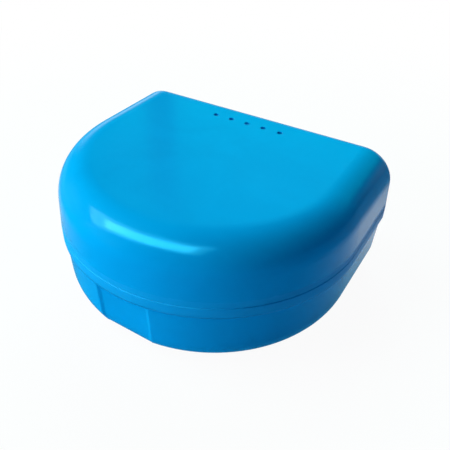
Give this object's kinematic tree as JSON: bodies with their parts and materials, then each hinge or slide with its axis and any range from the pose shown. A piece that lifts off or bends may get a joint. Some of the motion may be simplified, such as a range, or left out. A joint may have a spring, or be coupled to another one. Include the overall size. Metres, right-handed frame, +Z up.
{
  "type": "dental appliance box",
  "caption": "D-shaped hard case for a retainer or aligner, with a hinged domed lid, vent holes, a banded rim and a thumb recess.",
  "frame": {"origin": "centre of the bounding box's underside, on the surface that the closed box stands on", "axes": "+Z up, +Y towards the flat rear wall with the hinges, -Y towards the round front, +X to the right as seen from the front"},
  "size_m": [0.08, 0.0703, 0.0355],
  "materials": {
    "shell_plastic": "smooth moulded gloss",
    "pin_plastic": "smooth moulded gloss"
  },
  "bodies": {
    "base": {"base_shell": "shell_plastic", "hinge_pin_left": "pin_plastic", "hinge_pin_right": "pin_plastic"},
    "lid": {"lid_shell": "shell_plastic"}
  },
  "joints": [
    {"name": "lid_hinge", "type": "hinge", "parent": "base", "child": "lid", "pos_m": [0, 0.03255, 0.0199], "axis": [-1, 0, 0], "range_deg": [0, 180]}
  ]
}
